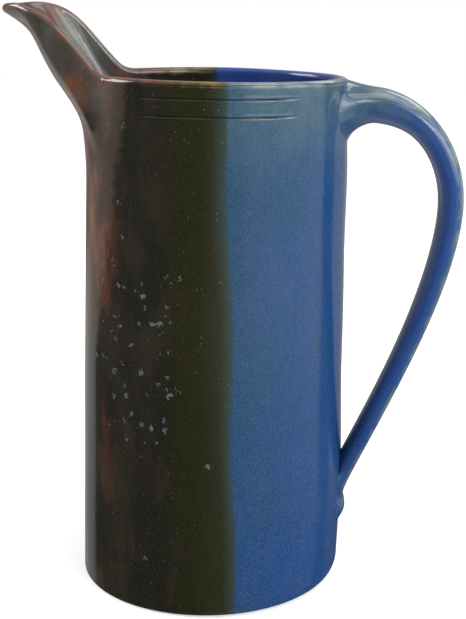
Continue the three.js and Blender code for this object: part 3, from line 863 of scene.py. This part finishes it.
def blisters(nodes, place, x, z, past):
    """Torn little flakes in the dark glaze, gathered in a belt around the middle. Their light colour is
    partly a painted glint.
    """
    brightness, choice, _ = nodes.cells(place, 430)[1]
    belt = nodes.math("MULTIPLY", nodes.smooth(z, 0.07, 0.1), nodes.smooth(z, 0.19, 0.15))
    belt = nodes.math("MULTIPLY", belt, nodes.smooth(x, -0.008, -0.018))
    belt = nodes.math("MULTIPLY", belt, nodes.smooth(nodes.noise(place, 45, 2), 0.38, 0.6))
    share = nodes.math("MULTIPLY_ADD", belt, 0.08, 0.003)
    chosen = nodes.math("GREATER_THAN", choice, nodes.math("SUBTRACT", 1.0, share))
    shard = nodes.cells(place, 800)[1][0]
    flake = nodes.math("MULTIPLY", chosen, nodes.smooth(shard, 0.4, 0.5))
    flake = nodes.math("MULTIPLY", flake, nodes.math("MULTIPLY_ADD", brightness, 0.5, 0.5))
    return nodes.math("MULTIPLY", flake, nodes.smooth(past, -0.004, -0.009))


def glaze_material():
    """Two glazes dipped from either side: dark iron glaze on the spout's side and blue on the handle's."""
    nodes, shader = new_material("glaze")
    place = nodes.add("ShaderNodeTexCoord").outputs["Object"]
    x, y, z = nodes.add("ShaderNodeSeparateXYZ", {"Vector": place}).outputs
    thin = nodes.attribute("thin")
    grain = nodes.noise(place, 1500, 3, 0.65)
    past = glaze_line(nodes, place, x, y, z)
    dark = dark_glaze(nodes, place, x, y, z, thin, grain, past)
    flake = blisters(nodes, place, x, z, past)
    # The flakes are painted light: partly torn glaze, partly a painted glint in each little pit.
    dark = nodes.mix(nodes.math("MULTIPLY", flake, 0.85), dark, BLISTER_AND_GLINT)
    blue = blue_glaze(nodes, place, x, y, z, thin, grain)
    glaze = nodes.mix(nodes.smooth(past, -0.0012, 0.0016), dark, blue)
    glaze = nodes.mix(nodes.smooth(thin, -0.15, -0.7, 0.0, 0.8), glaze, POOLED)

    # bare clay under the foot, where the glaze was wiped back
    foot_edge = nodes.math("MULTIPLY_ADD", nodes.noise(place, 70, 3), 0.0006, -0.0002)
    bare = nodes.math("LESS_THAN", z, foot_edge)
    clay = nodes.mix(nodes.noise(place, 900, 4, 0.7), BARE_CLAY, PALE_CLAY)
    nodes.put(shader.inputs["Base Color"], nodes.mix(bare, glaze, clay))
    rough = nodes.math("MULTIPLY_ADD", nodes.noise(place, 300, 4), 0.07, 0.07)
    rough = nodes.math("MULTIPLY_ADD", flake, 0.3, rough)
    nodes.put(shader.inputs["Roughness"], nodes.math("MULTIPLY_ADD", bare, 0.7, rough))
    shader.inputs["IOR"].default_value = 1.5
    runs = nodes.bump(nodes.noise(nodes.stretched(place, 1, 1, 0.06), 130, 2), 0.00005)
    peel = nodes.bump(nodes.noise(place, 420, 3, 0.5), 0.00002, 1.0, runs)
    nodes.put(shader.inputs["Normal"], nodes.bump(nodes.math("MULTIPLY", flake, -1), 0.0003, 0.8, peel))


# ------------------------------------------------------------------ camera, floor and light

CAMERA_AZIMUTH = math.radians(5)
CAMERA_DISTANCE = 0.5741
CAMERA_HEIGHT = 0.2822
CAMERA_PITCH = math.radians(14.268)
CAMERA_YAW = math.radians(0.953)
CAMERA_ROLL = math.radians(1.025)
LENS = 68.34
SENSOR_WIDTH = 36
FLOOR_HALF = 4.0


def make_camera():
    data = bpy.data.cameras.new("camera")
    data.lens = LENS
    data.sensor_width = SENSOR_WIDTH
    camera = bpy.data.objects.new("camera", data)
    bpy.context.scene.collection.objects.link(camera)
    bpy.context.scene.camera = camera
    around = Matrix.Rotation(CAMERA_AZIMUTH, 3, "Z")
    flat = Vector((math.sin(CAMERA_YAW), math.cos(CAMERA_YAW), 0)) * math.cos(CAMERA_PITCH)
    ahead = flat - Vector((0, 0, math.sin(CAMERA_PITCH)))
    level = Vector((math.cos(CAMERA_YAW), -math.sin(CAMERA_YAW), 0))
    above = level.cross(ahead)
    right = math.cos(CAMERA_ROLL) * level + math.sin(CAMERA_ROLL) * above
    up = math.cos(CAMERA_ROLL) * above - math.sin(CAMERA_ROLL) * level
    axes = Matrix((around @ right, around @ up, around @ -ahead)).transposed()
    camera.matrix_world = axes.to_4x4()
    camera.location = around @ Vector((0, -CAMERA_DISTANCE, CAMERA_HEIGHT))


def make_floor():
    mesh = bpy.data.meshes.new("floor")
    corners = [(x * FLOOR_HALF, y * FLOOR_HALF, 0) for x, y in ((-1, -1), (1, -1), (1, 1), (-1, 1))]
    mesh.from_pydata(corners, [], [(0, 1, 2, 3)])
    floor = bpy.data.objects.new("floor", mesh)
    bpy.context.scene.collection.objects.link(floor)
    _, shader = new_material("pale_floor")
    shader.inputs["Base Color"].default_value = (0.86, 0.86, 0.86, 1)
    shader.inputs["Roughness"].default_value = 0.9
    shader.inputs["Emission Color"].default_value = (1, 1, 1, 1)
    shader.inputs["Emission Strength"].default_value = 0.5
    mesh.materials.append(bpy.data.materials["pale_floor"])
    floor.visible_glossy = False


# Light of the studio around the pitcher: azimuth in degrees from the camera's side, positive to the right,
# then red, green and blue. A warm sweep stands at the left and a cool one at the right, and the camera's side
# is dark. Low down, the left sweep ends further from the camera, and every part of the ring is dimmer.
STUDIO = ((-180, 0.42, 0.42, 0.41), (-150, 0.30, 0.30, 0.28), (-128, 0.22, 0.21, 0.19),
          (-112, 0.62, 0.47, 0.40), (-80, 0.68, 0.50, 0.42), (-77, 0.08, 0.08, 0.09),
          (-40, 0.06, 0.06, 0.06), (-8, 0.10, 0.10, 0.10), (14, 0.45, 0.50, 0.52),
          (40, 0.80, 0.86, 0.86), (100, 0.80, 0.86, 0.86), (110, 0.60, 0.64, 0.65),
          (114, 0.10, 0.10, 0.10), (127, 0.10, 0.10, 0.10), (131, 0.42, 0.42, 0.46),
          (152, 0.30, 0.30, 0.34), (180, 0.42, 0.42, 0.41))
SWEEP_LEAN = 3.9
SWEEP_LEAN_START = 0.07
SWEEP_LEAN_MOST = 0.76


def make_world():
    world = bpy.data.worlds.new("studio")
    bpy.context.scene.world = world
    world.use_nodes = True
    world.node_tree.nodes.clear()
    nodes = Nodes(world.node_tree)
    direction = nodes.add("ShaderNodeTexCoord").outputs["Generated"]
    x, y, z = nodes.add("ShaderNodeSeparateXYZ", {"Vector": direction}).outputs
    turned = nodes.math("ARCTAN2", x, nodes.math("MULTIPLY", y, -1))
    depth = nodes.math("MULTIPLY_ADD", z, -SWEEP_LEAN, -SWEEP_LEAN * SWEEP_LEAN_START)
    lean = nodes.math("MINIMUM", nodes.math("MAXIMUM", depth, 0.0), SWEEP_LEAN_MOST)
    left_only = nodes.smooth(turned, -1.0, -1.3)
    turned = nodes.math("MULTIPLY_ADD", lean, left_only, turned)
    share = nodes.math("MULTIPLY_ADD", turned, 1 / TAU, 0.5)
    ramp = nodes.add("ShaderNodeValToRGB", {"Fac": share})
    stops = ramp.color_ramp.elements
    while len(stops) < len(STUDIO):
        stops.new(0.5)
    for stop, (degrees, red, green, blue) in zip(stops, STUDIO):
        stop.position = degrees / 360 + 0.5
        stop.color = (red, green, blue, 1)
    grey = nodes.add("ShaderNodeRGBToBW", {"Color": ramp.outputs["Color"]}).outputs[0]
    neutral = nodes.math("MULTIPLY", nodes.smooth(z, -0.18, -0.3), left_only)
    ring = nodes.mix(neutral, ramp.outputs["Color"], grey)
    dimmer = nodes.math("MULTIPLY_ADD", left_only, -0.45, 0.75)
    ring = nodes.mix(nodes.math("MULTIPLY", nodes.smooth(z, -0.2, -0.46), dimmer), ring, (0.0, 0.0, 0.0))
    overhead = nodes.smooth(z, 0.3, 0.7)
    dome = nodes.mix(overhead, ring, (0.75, 0.77, 0.8))
    seen = nodes.add("ShaderNodeLightPath").outputs["Is Camera Ray"]
    colour = nodes.mix(seen, dome, (1.0, 1.0, 1.0))
    background = nodes.add("ShaderNodeBackground", {"Color": colour, "Strength": 1.0})
    output = nodes.add("ShaderNodeOutputWorld")
    nodes.put(output.inputs["Surface"], background.outputs[0])


# The soft lights: azimuth from the camera's side and elevation in degrees, distance, width and height in
# metres, brightness, and whether the light is only seen as a reflection in the glaze.
SOFTBOXES = (("key_softbox", 46, 27, 1.1, 0.36, 0.2, 9.5, False),
             ("side_softbox", 76, 24, 1.1, 0.5, 0.36, 3.5, False),
             ("top_softbox", 80, 66, 1.1, 0.8, 0.6, 2.5, False),
             ("left_softbox", -88, 32, 1.0, 0.2, 0.4, 6.0, False),
             ("left_reflector", -104, 32, 1.0, 0.45, 0.4, 7.0, True),
             ("right_reflector", 66, 25, 1.1, 1.8, 0.9, 1.9, True),
             ("back_reflector", 143, 38, 1.1, 0.4, 0.35, 2.5, True))
LIGHT_AIM_HEIGHT = 0.16


def softbox(name, azimuth, elevation, distance, width, height, brightness, shine_only):
    """A rectangular soft light that faces the pitcher."""
    data = bpy.data.lights.new(name, "AREA")
    data.shape = "RECTANGLE"
    data.size, data.size_y = width, height
    data.energy = brightness * math.pi * width * height
    light = bpy.data.objects.new(name, data)
    bpy.context.scene.collection.objects.link(light)
    a, e = math.radians(azimuth), math.radians(elevation)
    away = Vector((math.sin(a) * math.cos(e), -math.cos(a) * math.cos(e), math.sin(e)))
    light.location = Vector((0, 0, LIGHT_AIM_HEIGHT)) + away * distance
    light.rotation_mode = "QUATERNION"
    light.rotation_quaternion = away.to_track_quat("Z", "Y")
    light.visible_diffuse = not shine_only


def make_lights():
    for settings in SOFTBOXES:
        softbox(*settings)


# ------------------------------------------------------------------ assembly

make_camera()
make_floor()
make_world()
make_lights()
glaze_material()

body = make_body()
spout = make_spout()
strap = make_strap()
upper = make_joint("handle_upper_joint_glazed", STRAP_FROM, UPPER_JOINT, 1, upper_relief)
lower = make_joint("handle_lower_joint_glazed", STRAP_TO, LOWER_JOINT, -1, lower_relief)

for piece, node, slot in ((body, "thrown_body", "body_glaze"), (spout, "spout_beak", "spout_glaze"),
                          (strap, "handle_strap", "handle_glaze"),
                          (upper, "handle_upper_joint", "handle_glaze"),
                          (lower, "handle_lower_joint", "handle_glaze")):
    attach(piece, "root")
    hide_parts(node)

bpy.context.scene.view_settings.view_transform = "Standard"
